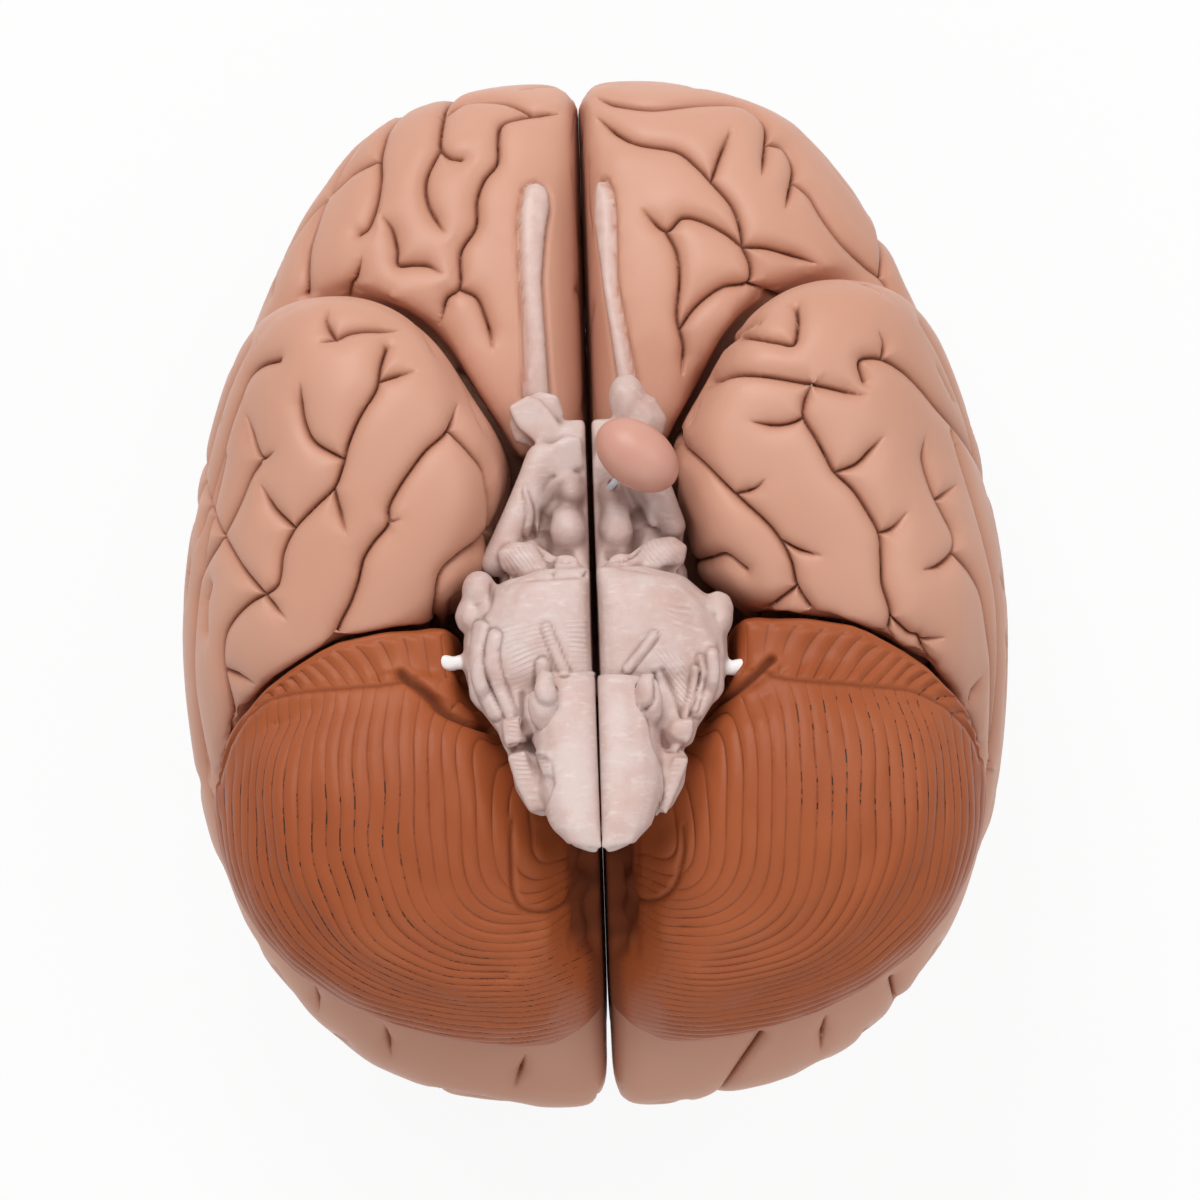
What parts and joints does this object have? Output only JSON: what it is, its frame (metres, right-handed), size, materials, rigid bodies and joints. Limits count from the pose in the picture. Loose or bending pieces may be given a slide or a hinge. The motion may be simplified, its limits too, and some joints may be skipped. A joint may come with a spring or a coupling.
{
  "type": "brain anatomy model",
  "caption": "Life-size human brain anatomy model lying on its crown, underside up, split along the midline into lobes, brainstem and cerebellum that lift off pins.",
  "frame": {"origin": "middle of the model's footprint, on the surface that it lies on", "axes": "+Z towards the underside of the brain, which faces up; +Y towards the frontal lobes; +X towards the model's left half"},
  "size_m": [0.14, 0.175, 0.125],
  "materials": {
    "cerebrum_vinyl": "painted satin vinyl with darker sulci",
    "cerebellum_vinyl": "painted satin vinyl with dark lines between the folia",
    "brainstem_vinyl": "painted satin vinyl with a mottled wash",
    "gland_vinyl": "smooth satin vinyl",
    "pin_steel": "plain"
  },
  "bodies": {
    "right_half": {"fronto_parietal_right": "cerebrum_vinyl", "midline_pin_front": "pin_steel", "midline_pin_rear": "pin_steel", "lobe_pin_right": "pin_steel", "brainstem_pin_right": "pin_steel"},
    "left_half": {"fronto_parietal_left": "cerebrum_vinyl", "lobe_pin_left": "pin_steel", "brainstem_pin_left": "pin_steel"},
    "right_temporal": {"temporo_occipital_right": "cerebrum_vinyl"},
    "left_temporal": {"temporo_occipital_left": "cerebrum_vinyl"},
    "right_stem": {"brainstem_right": "brainstem_vinyl", "cerebellum_pin_right": "pin_steel"},
    "left_stem": {"brainstem_left": "brainstem_vinyl", "cerebellum_pin_left": "pin_steel", "pituitary_pin": "pin_steel", "pituitary_gland": "gland_vinyl"},
    "right_cerebellum": {"cerebellum_right": "cerebellum_vinyl"},
    "left_cerebellum": {"cerebellum_left": "cerebellum_vinyl"}
  },
  "joints": [
    {"name": "left_half_slide", "type": "slide", "parent": "right_half", "child": "left_half", "axis": [1, 0, 0], "range_m": [0, 0.08]},
    {"name": "right_temporal_lift", "type": "slide", "parent": "right_half", "child": "right_temporal", "axis": [0, 0, 1], "range_m": [0, 0.09]},
    {"name": "left_temporal_lift", "type": "slide", "parent": "left_half", "child": "left_temporal", "axis": [0, 0, 1], "range_m": [0, 0.09]},
    {"name": "right_stem_lift", "type": "slide", "parent": "right_temporal", "child": "right_stem", "axis": [0, 0, 1], "range_m": [0, 0.06]},
    {"name": "left_stem_lift", "type": "slide", "parent": "left_temporal", "child": "left_stem", "axis": [0, 0, 1], "range_m": [0, 0.06]},
    {"name": "right_cerebellum_slide", "type": "slide", "parent": "right_stem", "child": "right_cerebellum", "axis": [0, -0.866, 0.5], "range_m": [0, 0.06]},
    {"name": "left_cerebellum_slide", "type": "slide", "parent": "left_stem", "child": "left_cerebellum", "axis": [0, -0.866, 0.5], "range_m": [0, 0.06]}
  ]
}
